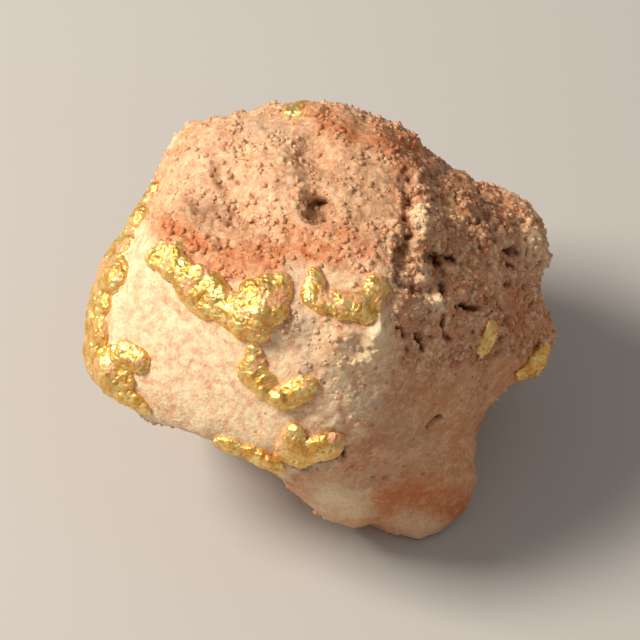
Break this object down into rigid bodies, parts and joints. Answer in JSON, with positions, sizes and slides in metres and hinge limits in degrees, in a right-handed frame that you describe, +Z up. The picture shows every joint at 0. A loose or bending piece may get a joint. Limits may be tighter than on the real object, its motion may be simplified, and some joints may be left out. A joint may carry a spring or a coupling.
{
  "type": "gold nugget in host rock",
  "caption": "Chunky pink quartz rock with lumpy native gold masses standing out of its brow, rim and corner, on a flat broken base.",
  "frame": {"origin": "middle of the stone's box, at the bottom, on the plane of the broken face that it rests on", "axes": "+Z up, -Y towards the side that the picture shows, +X to the right along the longest extent"},
  "size_m": [0.0244, 0.0204, 0.0187],
  "materials": {
    "host_rock": null,
    "gold": null
  },
  "bodies": {
    "root": {"host_rock": "host_rock", "gold_brow": "gold", "gold_brow_right": "gold", "gold_left_rim": "gold", "gold_middle": "gold", "gold_foot": "gold", "gold_lower_seam": "gold", "gold_top_nub": "gold", "gold_right_patch": "gold", "gold_right_edge": "gold"}
  },
  "joints": []
}
